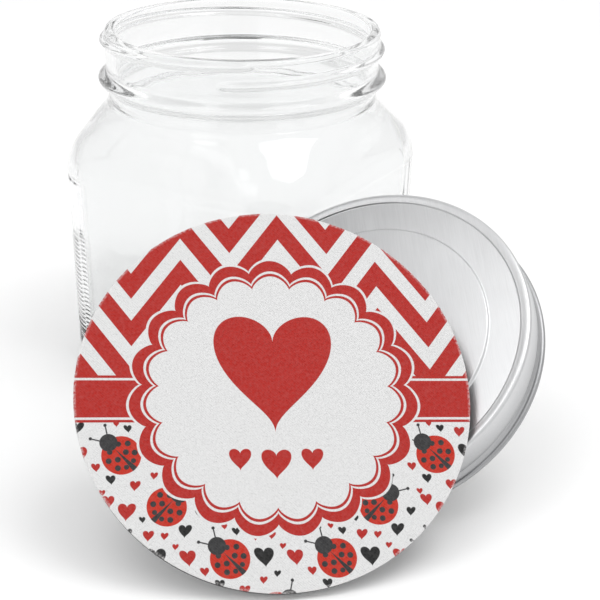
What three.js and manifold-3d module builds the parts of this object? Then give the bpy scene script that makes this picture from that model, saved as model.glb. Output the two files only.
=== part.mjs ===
// Coin bank jar: a clear screw-neck jar, its slotted metal screw lid with a ring gasket,
// and a round fabric-faced rubber grip pad. Millimetres, +Z up.
// The origin is the centre of the jar's flat underside; the front of the set faces -Y.
import * as THREE from 'three';
import { mergeVertices } from 'three/addons/utils/BufferGeometryUtils.js';
import Module from 'manifold-3d';

const wasm = await Module();
wasm.setup();

const DEG = Math.PI / 180;
const GAP = 0.3;
const ROUND_STEPS = 64;

// Jar body: a rounded square in plan, its corners turned a little off the X and Y axes.
const CORNER_R_TOP = 69;
const CORNER_R_BOTTOM = 66.6;
const FLAT_RATIO = 0.832;
const PLAN_CORNER_RATIO = 0.512;
const PLAN_TURN = 16 * DEG;
const HEEL_R = 6;
const BODY_TOP_Z = 75.4;
const WALL = 3.2;
const BASE_THICKNESS = 5;
const PANEL_DEPTH = 0.5;
const PANEL_BOTTOM_Z = 11;
const PANEL_CREASE = 1;
const PANEL_TOP_BELOW = 1.5;

// Jar shoulder: an arc out of the wall, a straight 45 degree slope and a small fillet at the neck.
const SHOULDER_ARC_R = 19.2;
const SHOULDER_SLOPE = 45 * DEG;
const SHOULDER_NECK_FILLET = 1.4;
const SHOULDER_FILLET_RISE = 1.9;
const SHOULDER_FILLET_RUN = 0.4;
const ROUND_FROM_Z = 99.5;
const SQUARE_BELOW_Z = 82;

// Neck finish: 110 mm class, one thread turn above a full transfer bead.
const NECK_R = 51.7;
const FINISH_R = 52.3;
const NECK_WALL = 3.6;
const BEAD_Z = 109.9;
const BEAD_HALF_HEIGHT = 4.6;
const BEAD_HEIGHT = 3.7;
const THREAD_LOW_Z = 119.1;
const THREAD_RISE = 7.5;
const THREAD_START = 259 * DEG;
const THREAD_SWEEP = 381 * DEG;
const THREAD_FADE = 10 * DEG;
const THREAD_HALF_HEIGHT = 2.5;
const THREAD_HEIGHT = 2.4;
const LIP_R = 53;
const LIP_Z = 126.6;
const RIM_Z = 128.4;
const LIP_ROUND = 1.8;
const LIP_BORE_R = 48.8;
const LIP_BORE_CHAMFER = 0.8;
const LIP_BORE_DEPTH = 5;
const BEAD_TO_FINISH = 0.4;

// Screw lid: stepped flat top, rolled thread in the skirt and a curled lower edge.
const LID_SKIRT_R = 56.6;
const LID_WALL = 0.8;
const LID_DEPTH = 17;
const LID_CURL_R = 57.8;
const LID_CURL_TUBE = 1.1;
const LID_EDGE_ROUND = 1.3;
const LID_TOP_WALL = 1.3;
const LID_PANEL_R = 42.6;
const LID_PANEL_STEP = 0.7;
const LID_RIM_R = 52.8;
const LID_RIM_RUN = 0.5;
const LID_RIM_DROP = 0.15;
const LID_STEP_RUN = 1;
const LID_CURL_TO_SKIRT = 1.2;
const LID_EDGE_TO_SKIRT = 0.2;
const LID_THREAD_DEPTH = 0.9;
const LID_THREAD_HALF_HEIGHT = 1.9;
const LID_THREAD_LOW = -13.2;
const LID_THREAD_RISE = 7.4;
const COIN_SLOT_LENGTH = 36;
const COIN_SLOT_WIDTH = 4.2;
const COIN_SLOT_CUT = 6;

// Ring gasket that lies under the lid's top, outside the coin slot.
const GASKET_OUTER_R = 54.4;
const GASKET_INNER_R = 46.5;
const GASKET_THICKNESS = 1.0;

// Grip pad: printed fabric bonded to a rubber sheet.
const PAD_R = 63;
const PAD_FABRIC = 1.0;
const PAD_RUBBER = 2.5;
const PAD_RUBBER_INSET = 0.4;
const PAD_EDGE = 0.4;

// The lid and the pad lean in front of the jar and stop just clear of the ground plane.
const REST_GAP = 0.1;
const LID_X = 45.5;
const LID_Y = -119.5;
const LID_TILT = 41.8 * DEG;
const LID_YAW = -30 * DEG;
const LID_SPIN = 30 * DEG;
const PAD_X = 15.3;
const PAD_Y = -161.7;
const PAD_TILT = 46.8 * DEG;
const PAD_YAW = 9 * DEG;

const clamp01 = (value) => Math.min(1, Math.max(0, value));

const smooth = (value) => {
  const t = clamp01(value);
  return t * t * (3 - 2 * t);
};

// A bump of height 1 that is zero beyond one half-height from its middle.
const bump = (offset, halfHeight) => {
  const t = Math.abs(offset) / halfHeight;
  return t < 1 ? Math.cos((t * Math.PI) / 2) ** 2 : 0;
};

// Points of an arc from angle a0 to a1 about (cx, cy).
function arc(cx, cy, r, a0, a1, steps) {
  const points = [];
  for (let i = 0; i <= steps; i += 1) {
    const a = a0 + ((a1 - a0) * i) / steps;
    points.push(new THREE.Vector2(cx + r * Math.cos(a), cy + r * Math.sin(a)));
  }
  return points;
}

// Evenly spaced heights at one radius, for a wall that takes a thread.
function wallRows(r, z0, z1, rows) {
  const points = [];
  for (let i = 0; i <= rows; i += 1) {
    points.push(new THREE.Vector2(r, z0 + ((z1 - z0) * i) / rows));
  }
  return points;
}

// A lathe about +Z whose points are then moved radially by radius(r, angle, z).
function turned(profile, radius = (r) => r, steps = ROUND_STEPS) {
  const geometry = new THREE.LatheGeometry(profile, steps);
  geometry.rotateX(Math.PI / 2);
  const position = geometry.attributes.position;
  for (let i = 0; i < position.count; i += 1) {
    const x = position.getX(i);
    const y = position.getY(i);
    const r = Math.hypot(x, y);
    if (r > 1e-4) {
      const scale = radius(r, Math.atan2(y, x), position.getZ(i)) / r;
      position.setXY(i, x * scale, y * scale);
    }
  }
  return geometry;
}

function toManifold(geometry) {
  const bare = geometry.clone();
  bare.deleteAttribute('normal');
  bare.deleteAttribute('uv');
  const merged = mergeVertices(bare, 1e-4);
  const vertProperties = new Float32Array(merged.attributes.position.array);
  const triVerts = new Uint32Array(merged.index.array);
  return new wasm.Manifold(new wasm.Mesh({ numProp: 3, vertProperties, triVerts }));
}

function fromManifold(solid) {
  const { vertProperties, triVerts } = solid.getMesh();
  const geometry = new THREE.BufferGeometry();
  geometry.setAttribute('position', new THREE.BufferAttribute(vertProperties, 3));
  geometry.setIndex(new THREE.BufferAttribute(triVerts, 1));
  return geometry;
}

function part(name, geometry, material) {
  const mesh = new THREE.Mesh(geometry, material);
  mesh.name = name;
  return mesh;
}

// Height of a one-turn thread at an angle, and how fully formed it is there.
function threadAt(angle, lowZ, rise) {
  const turn = 2 * Math.PI;
  const from = (((angle - THREAD_START) % turn) + turn) % turn;
  const laps = [];
  for (let sweep = from; sweep <= THREAD_SWEEP; sweep += turn) {
    const fade = smooth(Math.min(sweep, THREAD_SWEEP - sweep) / THREAD_FADE);
    laps.push({ z: lowZ + (rise * sweep) / THREAD_SWEEP, fade });
  }
  return laps;
}

// Polar radius of the rounded square, as a share of its corner radius.
function planShare(angle) {
  const turn = angle - PLAN_TURN - Math.PI / 4;
  const x = Math.abs(Math.cos(turn));
  const y = Math.abs(Math.sin(turn));
  const straight = FLAT_RATIO * (1 - PLAN_CORNER_RATIO);
  const cornerR = FLAT_RATIO - straight;
  const flat = FLAT_RATIO / Math.max(x, y);
  if (flat * Math.min(x, y) <= straight) return flat;
  const along = straight * (x + y);
  const reach = along * along - 2 * straight * straight + cornerR * cornerR;
  return along + Math.sqrt(Math.max(reach, 0));
}

function jarRadius(r, angle, z) {
  const square = 1 - smooth((z - SQUARE_BELOW_Z) / (ROUND_FROM_Z - SQUARE_BELOW_Z));
  let out = r * (1 - square * (1 - planShare(angle)));
  if (r > FINISH_R - 1 && z > BEAD_Z + 2) {
    for (const lap of threadAt(angle, THREAD_LOW_Z, THREAD_RISE)) {
      out = Math.max(out, FINISH_R + THREAD_HEIGHT * lap.fade * bump(z - lap.z, THREAD_HALF_HEIGHT));
    }
  }
  return out;
}

function shoulder(inset) {
  const arcR = SHOULDER_ARC_R - inset;
  const points = arc(CORNER_R_TOP - SHOULDER_ARC_R, BODY_TOP_Z, arcR, 0, SHOULDER_SLOPE, 5);
  const neckR = NECK_R - inset;
  const last = points[points.length - 1];
  const run = last.x - neckR - SHOULDER_NECK_FILLET;
  points.push(new THREE.Vector2(last.x - run, last.y + run));
  points.push(new THREE.Vector2(neckR + SHOULDER_FILLET_RUN, last.y + run + SHOULDER_FILLET_RISE));
  return points;
}

function jarOutside() {
  const heelR = CORNER_R_BOTTOM - HEEL_R;
  const bead = [];
  for (let i = -4; i <= 4; i += 1) {
    const z = BEAD_Z + (BEAD_HALF_HEIGHT * i) / 4;
    bead.push(new THREE.Vector2(NECK_R + BEAD_HEIGHT * bump(z - BEAD_Z, BEAD_HALF_HEIGHT), z));
  }
  return [
    new THREE.Vector2(0, 0),
    ...arc(heelR, HEEL_R, HEEL_R, -Math.PI / 2, 0, 4),
    new THREE.Vector2(CORNER_R_BOTTOM, PANEL_BOTTOM_Z - PANEL_CREASE),
    new THREE.Vector2(CORNER_R_BOTTOM - PANEL_DEPTH, PANEL_BOTTOM_Z),
    new THREE.Vector2(CORNER_R_TOP - PANEL_DEPTH, BODY_TOP_Z - PANEL_TOP_BELOW),
    ...shoulder(0),
    new THREE.Vector2(NECK_R, ROUND_FROM_Z + 2),
    ...bead,
    ...wallRows(FINISH_R, BEAD_Z + BEAD_HALF_HEIGHT + BEAD_TO_FINISH, LIP_Z - LIP_ROUND, 9),
    ...arc(LIP_R - LIP_ROUND, LIP_Z, LIP_ROUND, 0, Math.PI / 2, 4),
  ];
}

function jarInside() {
  const innerCorner = CORNER_R_BOTTOM - WALL;
  return [
    new THREE.Vector2(LIP_BORE_R + LIP_BORE_CHAMFER, RIM_Z),
    new THREE.Vector2(LIP_BORE_R, RIM_Z - LIP_BORE_CHAMFER),
    new THREE.Vector2(FINISH_R - NECK_WALL, RIM_Z - LIP_BORE_DEPTH),
    new THREE.Vector2(NECK_R - NECK_WALL, ROUND_FROM_Z),
    ...shoulder(WALL).reverse(),
    new THREE.Vector2(innerCorner, HEEL_R + BASE_THICKNESS),
    ...arc(innerCorner - HEEL_R, HEEL_R + BASE_THICKNESS, HEEL_R, 0, -Math.PI / 2, 3).slice(1),
    new THREE.Vector2(0, BASE_THICKNESS),
  ];
}

function jarBody() {
  const glass = new THREE.MeshStandardMaterial({ color: 0xf2f5f4, roughness: 0.05, metalness: 0 });
  return part('jar_body', turned([...jarOutside(), ...jarInside()], jarRadius), glass);
}

// Rolled thread: both faces of the skirt are pushed in along one turn of the jar's thread.
function lidRadius(r, angle, z) {
  let out = r;
  if (r > LID_SKIRT_R - LID_WALL - 0.01 && r < LID_SKIRT_R + 0.01 && z < -LID_EDGE_ROUND) {
    for (const lap of threadAt(angle, LID_THREAD_LOW, LID_THREAD_RISE)) {
      const depth = LID_THREAD_DEPTH * lap.fade * bump(z - lap.z, LID_THREAD_HALF_HEIGHT);
      out = Math.min(out, r - depth);
    }
  }
  return out;
}

function lidProfile() {
  const low = -LID_DEPTH;
  const curlZ = low + LID_CURL_TUBE;
  const skirtTop = -LID_EDGE_ROUND - LID_EDGE_TO_SKIRT;
  const skirtLow = curlZ + LID_CURL_TO_SKIRT;
  const inner = LID_SKIRT_R - LID_WALL;
  const underRing = -LID_PANEL_STEP - LID_TOP_WALL;
  return [
    new THREE.Vector2(0, 0),
    new THREE.Vector2(LID_PANEL_R - LID_STEP_RUN, 0),
    new THREE.Vector2(LID_PANEL_R, -LID_PANEL_STEP),
    new THREE.Vector2(LID_RIM_R, -LID_PANEL_STEP),
    new THREE.Vector2(LID_RIM_R + LID_RIM_RUN, -LID_RIM_DROP),
    ...arc(LID_SKIRT_R - LID_EDGE_ROUND, -LID_EDGE_ROUND, LID_EDGE_ROUND, Math.PI / 2, 0, 3),
    ...wallRows(LID_SKIRT_R, skirtTop, skirtLow, 11),
    ...arc(LID_CURL_R - LID_CURL_TUBE, curlZ, LID_CURL_TUBE, Math.PI / 2, -Math.PI / 2, 5),
    new THREE.Vector2(inner, low),
    ...wallRows(inner, skirtLow, skirtTop - LID_WALL, 10),
    new THREE.Vector2(inner - LID_STEP_RUN, underRing),
    new THREE.Vector2(LID_PANEL_R - LID_STEP_RUN, underRing),
    new THREE.Vector2(LID_PANEL_R - 2 * LID_STEP_RUN, -LID_TOP_WALL),
    new THREE.Vector2(0, -LID_TOP_WALL),
  ].reverse();
}

function coinSlotCutter() {
  const half = COIN_SLOT_WIDTH / 2;
  const straight = COIN_SLOT_LENGTH / 2 - half;
  const outline = new THREE.Shape();
  outline.moveTo(-straight, -half);
  outline.lineTo(straight, -half);
  outline.absarc(straight, 0, half, -Math.PI / 2, Math.PI / 2, false);
  outline.lineTo(-straight, half);
  outline.absarc(-straight, 0, half, Math.PI / 2, (3 * Math.PI) / 2, false);
  const depth = COIN_SLOT_CUT;
  const cutter = new THREE.ExtrudeGeometry(outline, { depth, bevelEnabled: false, curveSegments: 6 });
  return cutter.translate(0, 0, -depth / 2);
}

function lidShell() {
  const tin = new THREE.MeshStandardMaterial({ color: 0xc9cbcd, roughness: 0.32, metalness: 1 });
  const shell = toManifold(turned(lidProfile(), lidRadius));
  return part('lid_shell', fromManifold(shell.subtract(toManifold(coinSlotCutter()))), tin);
}

// A flat ring with square edges between two heights.
function flatRing(innerR, outerR, low, high) {
  const corners = [
    new THREE.Vector2(innerR, low),
    new THREE.Vector2(outerR, low),
    new THREE.Vector2(outerR, high),
    new THREE.Vector2(innerR, high),
    new THREE.Vector2(innerR, low),
  ];
  return turned(corners);
}

function lidGasket() {
  const foam = new THREE.MeshStandardMaterial({ color: 0xf0efea, roughness: 0.8, metalness: 0 });
  const high = -LID_PANEL_STEP - LID_TOP_WALL - GAP;
  return part('lid_gasket', flatRing(GASKET_INNER_R, GASKET_OUTER_R, high - GASKET_THICKNESS, high), foam);
}

// A flat disc with its outer edges rounded over.
function disc(r, low, high) {
  return turned([
    new THREE.Vector2(0, low),
    new THREE.Vector2(r - PAD_EDGE, low),
    new THREE.Vector2(r, low + PAD_EDGE),
    new THREE.Vector2(r, high - PAD_EDGE),
    new THREE.Vector2(r - PAD_EDGE, high),
    new THREE.Vector2(0, high),
  ]);
}

function padFabricFace() {
  const fabric = new THREE.MeshStandardMaterial({ color: 0xc8322f, roughness: 0.9, metalness: 0 });
  return part('pad_fabric_face', disc(PAD_R, -PAD_FABRIC, 0), fabric);
}

function padRubberBack() {
  const rubber = new THREE.MeshStandardMaterial({ color: 0x2b2b2c, roughness: 0.85, metalness: 0 });
  const high = -PAD_FABRIC - GAP;
  return part('pad_rubber_back', disc(PAD_R - PAD_RUBBER_INSET, high - PAD_RUBBER, high), rubber);
}

// A round piece leans back by tilt, turns by yaw, and its lowest edge stops REST_GAP above z = 0.
function leaning(x, y, tilt, yaw, spin, lowR, lowZ, meshes) {
  const spun = new THREE.Group();
  spun.rotation.z = spin;
  spun.add(...meshes);
  const tilted = new THREE.Group();
  tilted.rotation.x = tilt;
  tilted.add(spun);
  const placed = new THREE.Group();
  placed.rotation.z = yaw;
  placed.position.set(x, y, REST_GAP + lowR * Math.sin(tilt) - lowZ * Math.cos(tilt));
  placed.add(tilted);
  return placed;
}

const lid = leaning(LID_X, LID_Y, LID_TILT, LID_YAW, LID_SPIN, LID_CURL_R, -LID_DEPTH, [
  lidShell(),
  lidGasket(),
]);
const padDepth = PAD_FABRIC + GAP + PAD_RUBBER;
const pad = leaning(PAD_X, PAD_Y, PAD_TILT, PAD_YAW, 0, PAD_R, -padDepth, [
  padFabricFace(),
  padRubberBack(),
]);

const coinBankJar = new THREE.Group();
coinBankJar.add(jarBody(), lid, pad);

export default coinBankJar;
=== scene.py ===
"""Looks of the coin bank jar: a clear screw-neck jar, its slotted tin lid and a round printed grip pad.

Lengths are written in millimetres and turned into metres where a mesh is made. Each round piece is built
in its own frame, with the middle of its top face at the origin and its axis along +Z, and is then placed
on its CAD node. The studio is written in metres.
"""
import math

import bmesh
import bpy
from mathutils import Matrix, Vector


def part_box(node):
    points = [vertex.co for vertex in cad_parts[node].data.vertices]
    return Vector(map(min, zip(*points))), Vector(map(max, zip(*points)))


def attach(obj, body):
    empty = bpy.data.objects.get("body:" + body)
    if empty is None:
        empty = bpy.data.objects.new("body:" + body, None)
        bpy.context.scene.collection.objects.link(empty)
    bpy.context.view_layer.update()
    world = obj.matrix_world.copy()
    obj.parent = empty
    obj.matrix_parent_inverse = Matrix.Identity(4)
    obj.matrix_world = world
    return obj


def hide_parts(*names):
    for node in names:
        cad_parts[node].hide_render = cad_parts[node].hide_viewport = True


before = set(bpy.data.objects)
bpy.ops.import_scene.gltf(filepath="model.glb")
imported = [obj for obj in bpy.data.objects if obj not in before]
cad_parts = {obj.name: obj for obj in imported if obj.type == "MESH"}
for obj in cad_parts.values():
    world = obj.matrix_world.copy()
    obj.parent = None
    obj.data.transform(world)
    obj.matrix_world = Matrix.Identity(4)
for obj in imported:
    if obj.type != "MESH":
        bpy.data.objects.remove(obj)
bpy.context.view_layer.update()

MM = 0.001
DEG = math.pi / 180
TURN = 2 * math.pi
UP = Vector((0, 0, 1))

# Shared with the CAD model: the jar.
CORNER_R_TOP = 69
CORNER_R_BOTTOM = 66.6
FLAT_RATIO = 0.832
PLAN_CORNER_RATIO = 0.512
PLAN_TURN = 16 * DEG
HEEL_R = 6
BODY_TOP_Z = 75.4
WALL = 3.2
BASE_THICKNESS = 5
PANEL_DEPTH = 0.5
PANEL_BOTTOM_Z = 11
PANEL_CREASE = 1
PANEL_TOP_BELOW = 0.8
SHOULDER_ARC_R = 19.2
SHOULDER_SLOPE = 45 * DEG
SHOULDER_NECK_FILLET = 1.4
SHOULDER_FILLET_RISE = 1.9
SHOULDER_FILLET_RUN = 0.4
ROUND_FROM_Z = 99.5
SQUARE_BELOW_Z = 82
NECK_R = 51.7
FINISH_R = 52.3
NECK_WALL = 3.6
BEAD_Z = 109.9
BEAD_HALF_HEIGHT = 4.6
BEAD_HEIGHT = 3.7
BEAD_TO_FINISH = 0.4
THREAD_LOW_Z = 119.1
THREAD_RISE = 7.5
THREAD_START = 259 * DEG
THREAD_SWEEP = 381 * DEG
THREAD_FADE = 10 * DEG
THREAD_HALF_HEIGHT = 2.5
THREAD_HEIGHT = 2.4
LIP_R = 53
LIP_Z = 126.6
LIP_ROUND = 1.8
RIM_Z = 128.4
LIP_BORE_R = 48.8
LIP_BORE_ROUND = 1.0
LIP_BORE_DEPTH = 5

# Shared with the CAD model: the lid and its gasket.
LID_SKIRT_R = 56.6
LID_WALL = 0.8
LID_DEPTH = 17
LID_CURL_R = 57.8
LID_CURL_TUBE = 1.1
LID_EDGE_ROUND = 1.3
LID_TOP_WALL = 1.3
LID_PANEL_R = 42.6
LID_PANEL_STEP = 0.7
LID_RIM_R = 52.8
LID_RIM_RUN = 0.5
LID_RIM_DROP = 0.15
LID_THREAD_DEPTH = 0.9
LID_THREAD_HALF_HEIGHT = 1.9
LID_THREAD_LOW = -13.2
LID_THREAD_RISE = 7.4
COIN_SLOT_LENGTH = 36
COIN_SLOT_WIDTH = 4.2
GASKET_OUTER_R = 54.4
GASKET_INNER_R = 46.5
GASKET_THICKNESS = 1.0
GASKET_MIDDLE_Z = -2.8
LID_TILT = 41.8 * DEG
LID_YAW = -30 * DEG
LID_SPIN = 30 * DEG

# Shared with the CAD model: the grip pad.
PAD_R = 63
PAD_FABRIC = 1.0
PAD_RUBBER = 2.5
PAD_RUBBER_INSET = 0.4
PAD_EDGE = 0.4
PAD_LAYER_GAP = 0.3
PAD_TILT = 46.8 * DEG
PAD_YAW = 9 * DEG


def clamp01(value):
    return min(1.0, max(0.0, value))


def smooth(value):
    t = clamp01(value)
    return t * t * (3 - 2 * t)


def bump(offset, half_height):
    """1 in the middle, 0 beyond one half-height from it."""
    t = abs(offset) / half_height
    return math.cos(t * math.pi / 2) ** 2 if t < 1 else 0.0


def arc(cx, cy, r, a0, a1, steps):
    """Points of an arc about (cx, cy), from angle a0 to a1."""
    return [
        (cx + r * math.cos(a0 + (a1 - a0) * i / steps), cy + r * math.sin(a0 + (a1 - a0) * i / steps))
        for i in range(steps + 1)
    ]


def dense(profile, step):
    """The profile with no stretch longer than step(height) between its points."""
    out = [profile[0]]
    for (r0, z0), (r1, z1) in zip(profile, profile[1:]):
        length = math.hypot(r1 - r0, z1 - z0)
        pieces = max(1, math.ceil(length / step((z0 + z1) / 2)))
        for i in range(1, pieces + 1):
            t = i / pieces
            out.append((r0 + (r1 - r0) * t, z0 + (z1 - z0) * t))
    return out


def lathe_rings(profile, radius, steps):
    """One ring of points for each point of the profile, moved radially by radius(r, angle, z)."""
    rings = []
    for r, z in profile:
        if r < 1e-6:
            rings.append([(0.0, 0.0, z)])
            continue
        ring = []
        for k in range(steps):
            angle = TURN * k / steps
            moved = radius(r, angle, z)
            ring.append((moved * math.cos(angle), moved * math.sin(angle), z))
        rings.append(ring)
    return rings


def ring_faces(first, second):
    """Faces between two rings of vertex numbers. A ring of one vertex is a pole."""
    steps = max(len(first), len(second))
    faces = []
    for k in range(steps):
        n = (k + 1) % steps
        if len(first) == 1:
            faces.append((first[0], second[n], second[k]))
        elif len(second) == 1:
            faces.append((first[k], first[n], second[0]))
        else:
            faces.append((first[k], first[n], second[n], second[k]))
    return faces


def ring_piece(name, rings, place=Matrix.Identity(4), loop=False, sharp=35 * DEG):
    """A closed piece through its rings, in metres, smooth except where it turns more than sharp."""
    points = []
    numbers = []
    for ring in rings:
        numbers.append(range(len(points), len(points) + len(ring)))
        points.extend(Vector(p) * MM for p in ring)
    pairs = list(zip(numbers, numbers[1:]))
    if loop:
        pairs.append((numbers[-1], numbers[0]))
    faces = [face for first, second in pairs for face in ring_faces(first, second)]
    mesh = bpy.data.meshes.new(name)
    mesh.from_pydata(points, [], faces)
    shape = bmesh.new()
    shape.from_mesh(mesh)
    bmesh.ops.recalc_face_normals(shape, faces=shape.faces)
    shape.to_mesh(mesh)
    shape.free()
    mesh.shade_smooth()
    mesh.set_sharp_from_angle(angle=sharp)
    piece = bpy.data.objects.new(name, mesh)
    bpy.context.scene.collection.objects.link(piece)
    piece.matrix_world = place
    return piece


def box_middle(node):
    low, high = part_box(node)
    return (low + high) / 2


def leaning(middle, tilt, yaw, spin, middle_z):
    """The frame of a leaning round piece, from the middle of a CAD node and that middle's own height."""
    turned = (
        Matrix.Rotation(yaw, 4, "Z") @ Matrix.Rotation(tilt, 4, "X") @ Matrix.Rotation(spin, 4, "Z")
    )
    normal = turned.to_3x3() @ UP
    return Matrix.Translation(middle - normal * middle_z * MM) @ turned


# ---------------------------------------------------------------- material nodes


class Field:
    """A number that varies over a surface: a node socket with arithmetic."""

    def __init__(self, tree, socket):
        self.tree = tree
        self.socket = socket

    def math(self, operation, *others, clamp=False):
        node = self.tree.nodes.new("ShaderNodeMath")
        node.operation = operation
        node.use_clamp = clamp
        for index, value in enumerate((self, *others)):
            plug(self.tree, value, node.inputs[index])
        return Field(self.tree, node.outputs[0])

    def __add__(self, other):
        return self.math("ADD", other)

    def __sub__(self, other):
        return self.math("SUBTRACT", other)

    def __mul__(self, other):
        return self.math("MULTIPLY", other)

    def __truediv__(self, other):
        return self.math("DIVIDE", other)

    def __abs__(self):
        return self.math("ABSOLUTE")

    def most(self, other):
        return self.math("MAXIMUM", other)

    def wrapped(self, period):
        """The distance from the nearest multiple of the period."""
        return self.math("WRAP", period / 2, -period / 2)

    def below(self, limit, edge):
        """1 where the field is below the limit and 0 above it, over a soft edge."""
        return (self - limit).math("MULTIPLY_ADD", -1 / edge, 0.5, clamp=True)

    def ramp(self, low, high):
        """0 at low and 1 at high."""
        return (self - low).math("DIVIDE", high - low, clamp=True)


def plug(tree, value, socket):
    if isinstance(value, Field):
        tree.links.new(value.socket, socket)
    else:
        socket.default_value = value


def principled(name, **values):
    """A material with one Principled shader, and the plain values of its sockets."""
    material = bpy.data.materials.new(name)
    material.use_nodes = True
    tree = material.node_tree
    shader = next(n for n in tree.nodes if n.type == "BSDF_PRINCIPLED")
    for socket, value in values.items():
        shader.inputs[socket.replace("_", " ")].default_value = value
    return material, tree, shader


def place_of(tree):
    """The piece's own coordinates in metres, as a vector socket."""
    return tree.nodes.new("ShaderNodeTexCoord").outputs["Object"]


def axes_of(tree, vector, scale=1.0):
    node = tree.nodes.new("ShaderNodeSeparateXYZ")
    tree.links.new(vector, node.inputs[0])
    return [Field(tree, output) * scale for output in node.outputs]


def stretched(tree, vector, scale):
    node = tree.nodes.new("ShaderNodeMapping")
    tree.links.new(vector, node.inputs["Vector"])
    node.inputs["Scale"].default_value = scale
    return node.outputs["Vector"]


def noise(tree, vector, scale, detail=2.0, roughness=0.5):
    node = tree.nodes.new("ShaderNodeTexNoise")
    tree.links.new(vector, node.inputs["Vector"])
    node.inputs["Scale"].default_value = scale
    node.inputs["Detail"].default_value = detail
    node.inputs["Roughness"].default_value = roughness
    return Field(tree, node.outputs["Fac"])


def cells(tree, vector, scale, feature="F1"):
    node = tree.nodes.new("ShaderNodeTexVoronoi")
    node.feature = feature
    tree.links.new(vector, node.inputs["Vector"])
    node.inputs["Scale"].default_value = scale
    return Field(tree, node.outputs["Distance"])


def mixed(tree, share, first, second):
    """A colour socket between two colours, each a colour or a socket."""
    node = tree.nodes.new("ShaderNodeMix")
    node.data_type = "RGBA"
    plug(tree, share, node.inputs[0])
    for value, socket in ((first, node.inputs[6]), (second, node.inputs[7])):
        if isinstance(value, tuple):
            socket.default_value = (*value, 1.0)
        else:
            tree.links.new(value, socket)
    return node.outputs[2]


def raised(tree, shader, height, distance, strength=1.0):
    """Small relief on the shader's surface, its full height in metres."""
    node = tree.nodes.new("ShaderNodeBump")
    node.inputs["Strength"].default_value = strength
    node.inputs["Distance"].default_value = distance
    tree.links.new(height.socket, node.inputs["Height"])
    tree.links.new(node.outputs[0], shader.inputs["Normal"])


# ---------------------------------------------------------------- jar

JAR_STEPS = 360
PUSH_UP = 1.6
PUSH_UP_R = 50
RIB_LOW_Z = 11
RIB_HIGH_Z = 51
RIB_PITCH = 1.8
RIB_HEIGHT = 0.2
RIB_HALF_ANGLE = 7.5 * DEG
RIB_EDGE = 1.5 * DEG
RIB_END = 2
STRIP_LOW_Z = 10
STRIP_HIGH_Z = 74
STRIP_HEIGHT = 0.4
STRIP_HALF_ANGLE = 9.2 * DEG
STRIP_EDGE = 1.1 * DEG
STRIP_END = 1.2


def thread_at(angle, low, rise):
    """Height of a one-turn thread at an angle, and how fully formed it is there, for each lap."""
    laps = []
    sweep = (angle - THREAD_START) % TURN
    while sweep <= THREAD_SWEEP:
        fade = smooth(min(sweep, THREAD_SWEEP - sweep) / THREAD_FADE)
        laps.append((low + rise * sweep / THREAD_SWEEP, fade))
        sweep += TURN
    return laps


def plan_share(angle):
    """Polar radius of the rounded square, as a share of its corner radius."""
    turn = angle - PLAN_TURN - math.pi / 4
    x = abs(math.cos(turn))
    y = abs(math.sin(turn))
    straight = FLAT_RATIO * (1 - PLAN_CORNER_RATIO)
    corner_r = FLAT_RATIO - straight
    flat = FLAT_RATIO / max(x, y)
    if flat * min(x, y) <= straight:
        return flat
    along = straight * (x + y)
    return along + math.sqrt(max(along * along - 2 * straight * straight + corner_r * corner_r, 0))


def corner_strip(angle, z):
    """Height of the strip that stands proud of the label panels along each corner of the body."""
    beside = (angle - PLAN_TURN + math.pi / 4) % (math.pi / 2) - math.pi / 4
    ends = smooth((z - STRIP_LOW_Z) / STRIP_END) * smooth((STRIP_HIGH_Z - z) / STRIP_END)
    return STRIP_HEIGHT * ends * smooth((STRIP_HALF_ANGLE - abs(beside)) / STRIP_EDGE)


def grip_ribs(angle, z):
    """Height of the fine grip ribs moulded on the strips of two opposite corners."""
    beside = (angle - PLAN_TURN + math.pi / 2) % math.pi - math.pi / 2
    ends = smooth((z - RIB_LOW_Z) / RIB_END) * smooth((RIB_HIGH_Z - z) / RIB_END)
    across = smooth((RIB_HALF_ANGLE - abs(beside)) / RIB_EDGE)
    return RIB_HEIGHT * ends * across * (0.5 - 0.5 * math.cos(TURN * z / RIB_PITCH))


def jar_inner_radius(r, angle, z):
    """The profile's radius in the plan of that height: rounded square below, round at the neck."""
    square = 1 - smooth((z - SQUARE_BELOW_Z) / (ROUND_FROM_Z - SQUARE_BELOW_Z))
    return r * (1 - square * (1 - plan_share(angle)))


def jar_outer_radius(r, angle, z):
    """The same plan outside, with the thread, the corner strips and the grip ribs raised on it."""
    out = jar_inner_radius(r, angle, z)
    if r > FINISH_R - 1 and z > BEAD_Z + 2:
        for lap_z, fade in thread_at(angle, THREAD_LOW_Z, THREAD_RISE):
            out = max(out, FINISH_R + THREAD_HEIGHT * fade * bump(z - lap_z, THREAD_HALF_HEIGHT))
    if STRIP_LOW_Z < z < STRIP_HIGH_Z:
        out += corner_strip(angle, z)
    if RIB_LOW_Z < z < RIB_HIGH_Z:
        out += grip_ribs(angle, z)
    return out


def shoulder(inset):
    """Arc out of the wall, 45 degree slope and fillet to the neck, at a depth below the outer face."""
    points = arc(
        CORNER_R_TOP - SHOULDER_ARC_R, BODY_TOP_Z, SHOULDER_ARC_R - inset, 0, SHOULDER_SLOPE, 16
    )
    neck_r = NECK_R - inset
    last_r, last_z = points[-1]
    run = last_r - neck_r - SHOULDER_NECK_FILLET
    points.append((last_r - run, last_z + run))
    points.append((neck_r + SHOULDER_FILLET_RUN, last_z + run + SHOULDER_FILLET_RISE))
    return points


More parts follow.
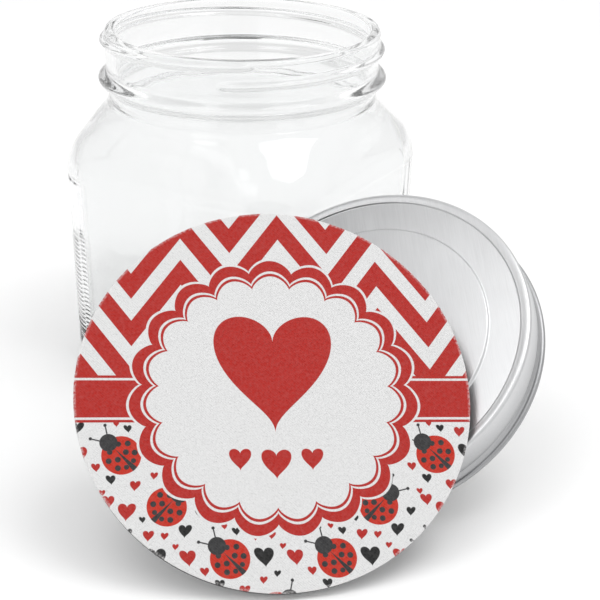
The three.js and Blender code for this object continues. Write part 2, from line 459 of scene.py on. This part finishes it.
def jar_outside():
    """From the middle of the underside up the outside to the rim."""
    heel_r = CORNER_R_BOTTOM - HEEL_R
    bead = []
    for i in range(-12, 13):
        z = BEAD_Z + BEAD_HALF_HEIGHT * i / 12
        bead.append((NECK_R + BEAD_HEIGHT * bump(z - BEAD_Z, BEAD_HALF_HEIGHT), z))
    push_up = [(0, PUSH_UP)]
    for i in range(1, 11):
        r = PUSH_UP_R * i / 10
        push_up.append((r, PUSH_UP * (1 - smooth(i / 10) ** 2)))
    return [
        *push_up,
        *arc(heel_r, HEEL_R, HEEL_R, -math.pi / 2, 0, 12),
        (CORNER_R_BOTTOM, PANEL_BOTTOM_Z - PANEL_CREASE),
        (CORNER_R_BOTTOM - PANEL_DEPTH, PANEL_BOTTOM_Z),
        (CORNER_R_TOP - PANEL_DEPTH, BODY_TOP_Z - PANEL_TOP_BELOW),
        *shoulder(0),
        (NECK_R, ROUND_FROM_Z + 2),
        *bead,
        (FINISH_R, BEAD_Z + BEAD_HALF_HEIGHT + BEAD_TO_FINISH),
        *arc(LIP_R - LIP_ROUND, LIP_Z, LIP_ROUND, 0, math.pi / 2, 10),
    ]


def jar_inside():
    """From the rim down the inside to the middle of the base."""
    inner = CORNER_R_BOTTOM - WALL
    bore_r = LIP_BORE_R + LIP_BORE_ROUND
    return [
        (bore_r + 0.1, RIM_Z),
        *arc(bore_r, RIM_Z - LIP_BORE_ROUND, LIP_BORE_ROUND, math.pi / 2, math.pi, 6)[1:],
        (FINISH_R - NECK_WALL, RIM_Z - LIP_BORE_DEPTH),
        (NECK_R - NECK_WALL, ROUND_FROM_Z),
        *shoulder(WALL)[::-1],
        (inner, HEEL_R + BASE_THICKNESS),
        *arc(inner - HEEL_R, HEEL_R + BASE_THICKNESS, HEEL_R, 0, -math.pi / 2, 10)[1:],
        (0, BASE_THICKNESS),
    ]


def fine_step(z):
    """Closer rings where the wall carries the ribs or the thread."""
    if RIB_LOW_Z <= z <= RIB_HIGH_Z:
        return 0.3
    return 0.45 if z > BEAD_Z + BEAD_HALF_HEIGHT else 1.6


def clear_glass():
    """Clear glass with slightly wavy walls, the body painted a trace greyer than the neck as painted
    shade.
    """
    material, tree, shader = principled(
        "clear_glass", Transmission_Weight=1.0, IOR=1.38, Roughness=0.05
    )
    where = place_of(tree)
    up = axes_of(tree, where)[2]
    # Painted shade: the body's colour is a trace darker than the neck's, to tone down the bright floor
    # seen through it.
    body_to_neck = up.ramp(BODY_TOP_Z * MM, BEAD_Z * MM)
    shaded_glass_tint = mixed(tree, body_to_neck, (0.93, 0.935, 0.935), (0.94, 0.945, 0.945))
    tree.links.new(shaded_glass_tint, shader.inputs["Base Color"])
    waviness = noise(tree, stretched(tree, where, (0.6, 0.6, 1.7)), 34, detail=1.5)
    raised(tree, shader, waviness, distance=0.0014, strength=0.5)
    return material


def jar_glass():
    outside = dense(jar_outside(), fine_step)
    inside = dense(jar_inside(), lambda z: 2.0)
    rings = lathe_rings(outside, jar_outer_radius, JAR_STEPS)
    rings += lathe_rings(inside, jar_inner_radius, JAR_STEPS)
    piece = ring_piece("jar_glass", rings, sharp=60 * DEG)
    piece.data.materials.append(clear_glass())
    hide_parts("jar_body")
    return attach(piece, "jar")


# ---------------------------------------------------------------- lid

LID_STEPS = 256
SLOT_RING_R = 24
SLOT_EDGE = 0.35
SLOT_FLARE = 2.2
STEP_WIDTH = 0.9
CREASE = 0.1
SKIRT_TO_CURL = 1.4


def lid_radius(r, angle, z):
    """The rolled thread pushes both faces of the skirt in along one turn."""
    out = r
    if LID_SKIRT_R - LID_WALL - 0.01 < r < LID_SKIRT_R + 0.01 and z < -LID_EDGE_ROUND:
        for lap_z, fade in thread_at(angle, LID_THREAD_LOW, LID_THREAD_RISE):
            out = min(out, r - LID_THREAD_DEPTH * fade * bump(z - lap_z, LID_THREAD_HALF_HEIGHT))
    return out


def stadium(r_grow, z):
    """The coin slot's outline, grown by r_grow, with one point for each step of the lid."""
    half = COIN_SLOT_WIDTH / 2
    straight = COIN_SLOT_LENGTH / 2 - half
    ring = []
    for k in range(LID_STEPS):
        angle = TURN * k / LID_STEPS
        x = max(-straight, min(straight, (straight + half) * 1.25 * math.cos(angle)))
        aim = math.atan2(math.sin(angle), math.cos(angle))
        end = smooth((abs(math.cos(angle)) - 0.62) / 0.38)
        turn = math.copysign((1 - end) * math.pi / 2, math.sin(aim) or 1.0)
        side = math.copysign(1.0, math.cos(angle))
        reach = half + r_grow
        ring.append((x + side * reach * math.cos(turn), reach * math.sin(turn), z))
    return ring


def between(first, second, share):
    """The ring a share of the way from one ring to another."""
    return [tuple(a + (b - a) * share for a, b in zip(p, q)) for p, q in zip(first, second)]


def circle(r, z):
    return [(r * math.cos(TURN * k / LID_STEPS), r * math.sin(TURN * k / LID_STEPS), z)
            for k in range(LID_STEPS)]


def lid_outside():
    """From the top panel out and down to the curl, then up the inside to the panel's underside."""
    inner = LID_SKIRT_R - LID_WALL
    low = -LID_DEPTH
    curl_z = low + LID_CURL_TUBE
    step = [
        (LID_PANEL_R - STEP_WIDTH + STEP_WIDTH * i / 8, -LID_PANEL_STEP * smooth(i / 8))
        for i in range(9)
    ]
    step_start = (LID_PANEL_R - STEP_WIDTH - CREASE, 0)
    step_end = (LID_PANEL_R + CREASE, -LID_PANEL_STEP)
    rim_start = (LID_RIM_R - CREASE, -LID_PANEL_STEP)
    rim_end = (LID_RIM_R + LID_RIM_RUN + CREASE, -LID_RIM_DROP)
    rim_height = LID_PANEL_STEP - LID_RIM_DROP
    rim = [
        (LID_RIM_R + LID_RIM_RUN * i / 6, -LID_PANEL_STEP + rim_height * smooth(i / 6))
        for i in range(7)
    ]
    edge = arc(LID_SKIRT_R - LID_EDGE_ROUND, -LID_EDGE_ROUND, LID_EDGE_ROUND, math.pi / 2, 0, 10)
    under = -LID_PANEL_STEP - LID_TOP_WALL
    return [
        (SLOT_RING_R, 0),
        step_start,
        *step,
        step_end,
        rim_start,
        *rim,
        rim_end,
        *edge,
        (LID_SKIRT_R, curl_z + SKIRT_TO_CURL),
        *arc(LID_CURL_R - LID_CURL_TUBE, curl_z, LID_CURL_TUBE, math.pi / 2, -math.pi / 2, 14),
        (inner, low),
        (inner, -LID_EDGE_ROUND - 0.2 - LID_WALL),
        (inner - 1, under),
        (LID_PANEL_R - 1, under),
        (LID_PANEL_R - 2, -LID_TOP_WALL),
        (SLOT_RING_R, -LID_TOP_WALL),
    ]


def satin_tin():
    """Brushed tin, bare on the flat top, with painted shade down the rolled skirt."""
    material, tree, shader = principled("satin_tinplate", Metallic=1.0, Anisotropic=0.25)
    where = place_of(tree)
    brushed = noise(tree, stretched(tree, where, (1.0, 0.03, 1.0)), 2600, detail=3.0, roughness=0.65)
    clouds = noise(tree, where, 32, detail=3.0)
    shade = (brushed * 0.5 + clouds * 0.5).ramp(0.3, 0.7)
    top = mixed(tree, shade, (0.56, 0.563, 0.57), (0.66, 0.663, 0.67))
    # Painted shade: a darker copy of the tin on the skirt, for the darker surroundings it reflects.
    skirt = mixed(tree, shade, (0.28, 0.283, 0.29), (0.40, 0.403, 0.41))
    # The painted shade deepens down the skirt towards the curl.
    drop = axes_of(tree, where)[2] * -1000
    skirt_shade = drop.ramp(LID_EDGE_ROUND, LID_DEPTH)
    tree.links.new(mixed(tree, skirt_shade, top, skirt), shader.inputs["Base Color"])
    rough = brushed * 0.10 + clouds * 0.08 + 0.24
    tree.links.new(rough.socket, shader.inputs["Roughness"])
    raised(tree, shader, brushed, 0.00004, 0.5)
    return material


def lid_tin(place):
    profile = dense(lid_outside(), lambda z: 0.5 if z < -LID_EDGE_ROUND - 0.1 else 1.5)
    rings = lathe_rings(profile, lid_radius, LID_STEPS)
    under_z = -LID_TOP_WALL
    top = circle(SLOT_RING_R, 0)
    bottom = circle(SLOT_RING_R, under_z)
    grown = stadium(SLOT_FLARE, 0)
    grown_under = stadium(SLOT_FLARE, under_z)
    rings += [between(bottom, grown_under, i / 8) for i in range(1, 9)]
    rings += [
        stadium(SLOT_EDGE * (1 - math.sin(a)), under_z + SLOT_EDGE * (1 - math.cos(a)))
        for a in (i * math.pi / 8 for i in range(5))
    ]
    rings += [
        stadium(SLOT_EDGE * (1 - math.cos(a)), -SLOT_EDGE * (1 - math.sin(a)))
        for a in (i * math.pi / 8 for i in range(5))
    ]
    rings += [between(top, grown, i / 8) for i in range(8, 0, -1)]
    piece = ring_piece("lid_tin", rings, place, loop=True)
    piece.data.materials.append(satin_tin())
    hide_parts("lid_shell")
    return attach(piece, "lid")


def gasket_foam():
    material, tree, shader = principled("gasket_foam", Roughness=0.8)
    where = place_of(tree)
    pores = cells(tree, where, 2400)
    cloud = noise(tree, where, 60, detail=3.0)
    tree.links.new(
        mixed(tree, cloud, (0.80, 0.79, 0.75), (0.88, 0.87, 0.84)), shader.inputs["Base Color"]
    )
    tree.links.new((pores * 0.2 + 0.68).socket, shader.inputs["Roughness"])
    raised(tree, shader, pores, 0.0001, 0.5)
    return material


def gasket_ring(place):
    half = GASKET_THICKNESS / 2
    round_r = 0.3
    corners = (
        (GASKET_OUTER_R, GASKET_MIDDLE_Z - half, 1, 1, -math.pi / 2),
        (GASKET_OUTER_R, GASKET_MIDDLE_Z + half, 1, -1, 0),
        (GASKET_INNER_R, GASKET_MIDDLE_Z + half, -1, -1, math.pi / 2),
        (GASKET_INNER_R, GASKET_MIDDLE_Z - half, -1, 1, math.pi),
    )
    profile = []
    for r, z, side, lift, start in corners:
        profile += arc(r - side * round_r, z + lift * round_r, round_r, start, start + math.pi / 2, 5)
    rings = lathe_rings(dense(profile, lambda z: 1.5), lambda r, angle, z: r, 160)
    piece = ring_piece("gasket_ring", rings, place, loop=True)
    piece.data.materials.append(gasket_foam())
    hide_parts("lid_gasket")
    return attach(piece, "gasket")


# ---------------------------------------------------------------- printed pad

# The print is laid out in shares of the pad's radius, u across and v up.
INK_EDGE = 0.003
PRINT_TURN = -3.4 * DEG
CHEVRON_PERIOD = 0.505
CHEVRON_SLOPE = 1.327
CHEVRON_REPEAT = 0.256
CHEVRON_BAND = 0.138
CHEVRON_PEAK = 0.852
CHEVRON_SHIFT = 0.045
RIBBON_V = -0.016
RIBBON_HALF = 0.097
RIBBON_WHITE = 0.012
RIBBON_LINE = 0.014
MEDALLION_V = 0.003
SCALLOPS = 19
SCALLOP_DEPTH = 0.066
SCALLOP_POWER = 0.75
BIG_HEART_V = 0.045
BIG_HEART = 0.30
MIDDLE_HEART_V = -0.375
MIDDLE_HEART = 0.075
SIDE_HEART_U = 0.18
SIDE_HEART_V = -0.345
SIDE_HEART = 0.055
TILE = 0.522
BUG_R = 0.098
WEAVE_PITCH = 0.9
FIBRES_PER_METRE = 1150

RED = (0.40, 0.017, 0.012)
BUG_RED = (0.48, 0.022, 0.008)
BLACK = (0.010, 0.010, 0.010)
SPOT_GREY = (0.030, 0.030, 0.031)
CLOTH_WHITE = (0.68, 0.68, 0.68)

# The medallion's nested outlines, from the outside in, and the ink inside each.
OUTLINES = (
    (0.676, CLOTH_WHITE),
    (0.663, RED),
    (0.605, CLOTH_WHITE),
    (0.592, RED),
    (0.577, CLOTH_WHITE),
)

# Small hearts of one tile: place in the tile, half-width, lean, and whether it is black.
HEARTS = (
    (0.86, 0.40, 0.092, 0.12, True),
    (0.58, 0.84, 0.084, -0.10, False),
    (0.15, 0.40, 0.076, 0.14, False),
    (0.12, 0.66, 0.062, -0.12, True),
    (0.42, 0.95, 0.056, 0.12, False),
    (0.78, 0.62, 0.052, -0.10, False),
    (0.66, 0.10, 0.050, -0.14, False),
    (0.44, 0.16, 0.046, 0.12, True),
    (0.26, 0.84, 0.044, -0.10, True),
    (0.30, 0.28, 0.042, 0.10, False),
    (0.60, 0.66, 0.038, 0.15, True),
    (0.93, 0.62, 0.036, -0.12, False),
    (0.84, 0.20, 0.036, -0.10, False),
    (0.97, 0.26, 0.032, -0.14, True),
    (0.36, 0.04, 0.030, 0.12, False),
    (0.49, 0.71, 0.028, 0.10, False),
    (0.73, 0.78, 0.030, 0.12, True),
    (0.03, 0.52, 0.030, -0.12, False),
)
# Ladybirds of one tile: place in the tile and which way the head points.
BUGS = ((0.536, 0.412, 44 * DEG), (0.956, 0.912, -44 * DEG))
# Spots on one wing, in shares of the body's radius.
SPOTS = (
    (0.30, 0.52, 0.14),
    (0.66, 0.22, 0.15),
    (0.28, -0.04, 0.15),
    (0.58, -0.36, 0.15),
    (0.24, -0.62, 0.13),
)
# A ladybird's parts, in shares of the body's radius.
HEAD_Y = 0.92
HEAD_R = 0.46
WING_SPLIT = 0.045
WING_SPREAD = 0.10
FEELER_X = 0.2
FEELER_Y = 1.2
FEELER_TURN = 58 * DEG
FEELER_MIDDLE = 0.25
FEELER_HALF = 0.30
FEELER_HALF_WIDTH = 0.035
FEELER_TIP = 0.58
FEELER_TIP_R = 0.085


def distance(x, y):
    return (x * x + y * y).math("SQRT")


def heart(x, y, size):
    """1 inside a heart of that half-width, its notch up."""
    across = x / size
    dip = y * (1.25 / size) - abs(across).math("SQRT")
    return (across * across + dip * dip).below(1.0, 2.5 * INK_EDGE / size)


def rotated(x, y, angle):
    c = math.cos(angle)
    s = math.sin(angle)
    return x * c + y * s, y * c - x * s


def ladybird(x, y):
    """Shares of body red and of dark parts for a beetle of unit radius that heads along +y."""
    side = abs(x)
    edge = INK_EDGE / BUG_R
    body = distance(x, y).below(1.0, edge)
    dark = distance(x, y - HEAD_Y).below(HEAD_R, edge)
    for spot_x, spot_y, spot_r in SPOTS:
        dark = dark.most(distance(side - spot_x, y - spot_y).below(spot_r, edge))
    split = (side + y * WING_SPREAD).below(WING_SPLIT, edge)
    along, across = rotated(side - FEELER_X, y - FEELER_Y, FEELER_TURN)
    feeler = abs(across).below(FEELER_HALF_WIDTH, edge)
    feeler = feeler * abs(along - FEELER_MIDDLE).below(FEELER_HALF, edge)
    tip = distance(along - FEELER_TIP, across).below(FEELER_TIP_R, edge)
    inside = body.most(distance(x, y - HEAD_Y).below(HEAD_R, edge))
    return body, (dark.most(split) * inside).most(feeler).most(tip)


def scattered_motifs(u, v):
    """Shares of red, black and dark grey for the hearts and ladybirds of the lower field."""
    red = black = bug_red = grey = None
    for cx, cy, size, lean, is_black in HEARTS:
        x = (u - cx * TILE).wrapped(TILE)
        y = (v - cy * TILE).wrapped(TILE)
        share = heart(x + y * lean, y, size * TILE)
        if is_black:
            black = share if black is None else black.most(share)
        else:
            red = share if red is None else red.most(share)
    for cx, cy, heading in BUGS:
        x = (u - cx * TILE).wrapped(TILE) / BUG_R
        y = (v - cy * TILE).wrapped(TILE) / BUG_R
        body, dark = ladybird(*rotated(x, y, heading))
        bug_red = body if bug_red is None else bug_red.most(body)
        grey = dark if grey is None else grey.most(dark)
    return red, black, bug_red, grey


def medallion_distance(u, v):
    """Distance from the medallion's middle, less its scallops, so that nested outlines stay parallel."""
    y = v - MEDALLION_V
    angle = u.math("ARCTAN2", y)
    lobe = (angle * (SCALLOPS / 2)).math("COSINE")
    return distance(u, y) - abs(lobe).math("POWER", SCALLOP_POWER) * SCALLOP_DEPTH


def ribbon_colour(tree, v, colour):
    """The red ribbon across the pad, with a white gap and a thin red line along each side."""
    from_ribbon = abs(v - RIBBON_V)
    white_out = RIBBON_HALF + RIBBON_WHITE
    for limit, ink in ((white_out + RIBBON_LINE, RED), (white_out, CLOTH_WHITE), (RIBBON_HALF, RED)):
        colour = mixed(tree, from_ribbon.below(limit, INK_EDGE), colour, ink)
    return colour


def emblem(u, v):
    """One large heart over three small ones."""
    hearts = heart(u, v - BIG_HEART_V, BIG_HEART)
    for side in (-1, 1):
        hearts = hearts.most(heart(u - side * SIDE_HEART_U, v - SIDE_HEART_V, SIDE_HEART))
    return hearts.most(heart(u, v - MIDDLE_HEART_V, MIDDLE_HEART))


def print_colour(tree, u, v):
    """The printed colour: chevrons over a field of motifs, a ribbon and a scalloped medallion."""
    zigzag = v + abs((u - CHEVRON_SHIFT).wrapped(CHEVRON_PERIOD)) * CHEVRON_SLOPE
    offset = zigzag - (CHEVRON_PEAK + CHEVRON_BAND / 2)
    chevron = abs(offset.wrapped(CHEVRON_REPEAT)).below(CHEVRON_BAND / 2, INK_EDGE)
    upper = (v * -1.0).below(-RIBBON_V, INK_EDGE)
    red, black, bug_red, grey = scattered_motifs(u, v)
    colour = mixed(tree, red, CLOTH_WHITE, RED)
    colour = mixed(tree, black, colour, BLACK)
    colour = mixed(tree, bug_red, colour, BUG_RED)
    colour = mixed(tree, grey, colour, SPOT_GREY)
    colour = mixed(tree, upper, colour, mixed(tree, chevron, CLOTH_WHITE, RED))
    colour = ribbon_colour(tree, v, colour)
    reach = medallion_distance(u, v)
    for limit, ink in OUTLINES:
        colour = mixed(tree, reach.below(limit, INK_EDGE), colour, ink)
    return mixed(tree, emblem(u, v), colour, RED)


def printed_fabric():
    """Printed woven polyester: the print, slightly worn, over fibres, grain and a fine weave."""
    material, tree, shader = principled(
        "printed_fabric",
        Sheen_Weight=0.02,
        Sheen_Roughness=0.5,
        Specular_IOR_Level=0.2,
    )
    where = place_of(tree)
    x, y, _ = axes_of(tree, where, 1 / (PAD_R * MM))
    u, v = rotated(x, y, PRINT_TURN)
    grain = noise(tree, where, FIBRES_PER_METRE, detail=2.0, roughness=0.6)
    fibres = cells(tree, where, FIBRES_PER_METRE)
    mottle = noise(tree, where, 420, detail=3.0)
    thread_x = (x * (TURN * PAD_R / WEAVE_PITCH)).math("SINE")
    thread_y = (y * (TURN * PAD_R / WEAVE_PITCH)).math("SINE")
    weave = thread_x * thread_y
    ink = print_colour(tree, u, v)
    worn = (grain * 0.5 + mottle * 0.3 + fibres * 0.3).ramp(0.35, 0.95)
    rim = distance(x, y).ramp(0.985, 0.997)
    faded = mixed(tree, worn * 0.05, ink, (0.9, 0.9, 0.9))
    # Lighter flecks are painted along the outermost rim.
    rim_flecks = rim * grain.ramp(0.35, 0.75) * 0.75
    tree.links.new(mixed(tree, rim_flecks, faded, (0.78, 0.76, 0.76)), shader.inputs["Base Color"])
    tree.links.new((grain * 0.15 + 0.75).socket, shader.inputs["Roughness"])
    relief = grain * 0.45 + fibres * 0.35 + weave * 0.12 + mottle * 0.3
    raised(tree, shader, relief, distance=0.0008, strength=0.8)
    return material


def pad_rings(r, low, high, round_r, lift):
    """A disc as rings from the middle of its underside to the middle of its top, its edges rounded."""
    profile = [(0, low)]
    profile += arc(r - round_r, low + round_r, round_r, -math.pi / 2, 0, 5)
    profile += arc(r - round_r, high - round_r, round_r, 0, math.pi / 2, 5)
    profile += [(0, high)]
    rings = lathe_rings(dense(profile, lambda z: 1.5), lambda radius, angle, z: radius, 256)
    return [[(x, y, z + lift(x, y)) for x, y, z in ring] for ring in rings]


def fabric_lift(x, y):
    """The bonded fabric isn't quite flat."""
    return 0.04 * math.sin(x / 9.0 + 0.6) * math.cos(y / 11.0) + 0.03 * math.sin((x + y) / 5.0)


def pad_fabric(place):
    piece = ring_piece("pad_fabric", pad_rings(PAD_R, -PAD_FABRIC, 0, PAD_EDGE, fabric_lift), place)
    piece.data.materials.append(printed_fabric())
    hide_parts("pad_fabric_face")
    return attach(piece, "pad")


def pad_rubber():
    material, tree, shader = principled("pad_rubber", Roughness=0.8)
    where = place_of(tree)
    pores = cells(tree, where, 900)
    cloud = noise(tree, where, 90, detail=4.0)
    tree.links.new(
        mixed(tree, cloud, (0.022, 0.022, 0.023), (0.05, 0.05, 0.051)), shader.inputs["Base Color"]
    )
    tree.links.new((pores * 0.3 + 0.6).socket, shader.inputs["Roughness"])
    raised(tree, shader, pores, 0.0004, 0.7)
    return material


def pad_rubber_sheet(place):
    high = -PAD_FABRIC - PAD_LAYER_GAP
    rings = pad_rings(PAD_R - PAD_RUBBER_INSET, high - PAD_RUBBER, high, PAD_EDGE, lambda x, y: 0.0)
    piece = ring_piece("pad_rubber_sheet", rings, place)
    piece.data.materials.append(pad_rubber())
    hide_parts("pad_rubber_back")
    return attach(piece, "pad")


# ---------------------------------------------------------------- stage

CAMERA_AT = (0.0231, -0.6774, 0.2895)
CAMERA_PITCH = 21.98 * DEG
CAMERA_ROLL = 0.6 * DEG
CAMERA_LENS = 108
FLOOR_HALF = 5.0
BOUNCES = 64
DARK_PATCH = (-0.58, 0.10, 0.81)
DARK_PATCH_OUTER = 23 * DEG
DARK_PATCH_INNER = 5 * DEG


def floor():
    mesh = bpy.data.meshes.new("floor")
    corners = [(x * FLOOR_HALF, y * FLOOR_HALF, 0) for x, y in ((-1, -1), (1, -1), (1, 1), (-1, 1))]
    mesh.from_pydata(corners, [], [(0, 1, 2, 3)])
    piece = bpy.data.objects.new("floor", mesh)
    bpy.context.scene.collection.objects.link(piece)
    material, _, _ = principled(
        "floor_paper", Roughness=0.9, Base_Color=(0.95, 0.95, 0.95, 1), Specular_IOR_Level=0.1
    )
    mesh.materials.append(material)


def sky():
    """Soft studio surround, with one darker patch that shades the upper left of the lid."""
    world = bpy.data.worlds.new("studio")
    bpy.context.scene.world = world
    world.use_nodes = True
    tree = world.node_tree
    background = next(n for n in tree.nodes if n.type == "BACKGROUND")
    x, y, up = axes_of(tree, tree.nodes.new("ShaderNodeTexCoord").outputs["Generated"])
    toward = x * DARK_PATCH[0] + y * DARK_PATCH[1] + up * DARK_PATCH[2]
    patch = toward.ramp(math.cos(DARK_PATCH_OUTER), math.cos(DARK_PATCH_INNER))
    open_sky = mixed(tree, up.ramp(0.0, 0.6), (0.80, 0.80, 0.80), (1.0, 1.0, 1.0))
    tree.links.new(mixed(tree, patch, open_sky, (0.16, 0.16, 0.16)), background.inputs["Color"])


def softbox(name, place, aim, size, power):
    """A rectangular lamp of that size in metres and power in watts, turned to its aim."""
    light = bpy.data.lights.new(name, "AREA")
    light.shape = "RECTANGLE"
    light.size = size[0]
    light.size_y = size[1]
    light.energy = power
    lamp = bpy.data.objects.new(name, light)
    lamp.location = place
    lamp.rotation_euler = (Vector(place) - Vector(aim)).to_track_quat("Z", "Y").to_euler()
    bpy.context.scene.collection.objects.link(lamp)


def camera():
    data = bpy.data.cameras.new("camera")
    data.sensor_width = 36
    data.lens = CAMERA_LENS
    data.clip_start = 0.01
    lens = bpy.data.objects.new("camera", data)
    lens.location = CAMERA_AT
    lens.rotation_mode = "ZXY"
    lens.rotation_euler = (math.pi / 2 - CAMERA_PITCH, 0, CAMERA_ROLL)
    bpy.context.scene.collection.objects.link(lens)
    bpy.context.scene.camera = lens


lid_place = leaning(box_middle("lid_gasket"), LID_TILT, LID_YAW, LID_SPIN, GASKET_MIDDLE_Z)
pad_place = leaning(box_middle("pad_fabric_face"), PAD_TILT, PAD_YAW, 0, -PAD_FABRIC / 2)

camera()
jar_glass()
lid_tin(lid_place)
gasket_ring(lid_place)
fabric = pad_fabric(pad_place)
rubber = pad_rubber_sheet(pad_place)

floor()
sky()
softbox("overhead_right", (0.50, -0.25, 1.2), (0, -0.1, 0.08), (0.6, 0.55), 3.4)
softbox("overhead_left", (-0.415, -0.40, 1.25), (0.05, -0.12, 0.05), (0.43, 0.56), 1.7)
softbox("front", (-0.7, -1.3, 1.0), (0, -0.1, 0.05), (0.8, 0.8), 2.0)
# Light is trapped for many bounces inside the glass bead and lip, which would otherwise look black.
paths = bpy.context.scene.cycles
paths.max_bounces = BOUNCES
paths.transmission_bounces = BOUNCES
paths.glossy_bounces = BOUNCES
bpy.context.scene.view_settings.view_transform = "Standard"

bpy.context.view_layer.update()
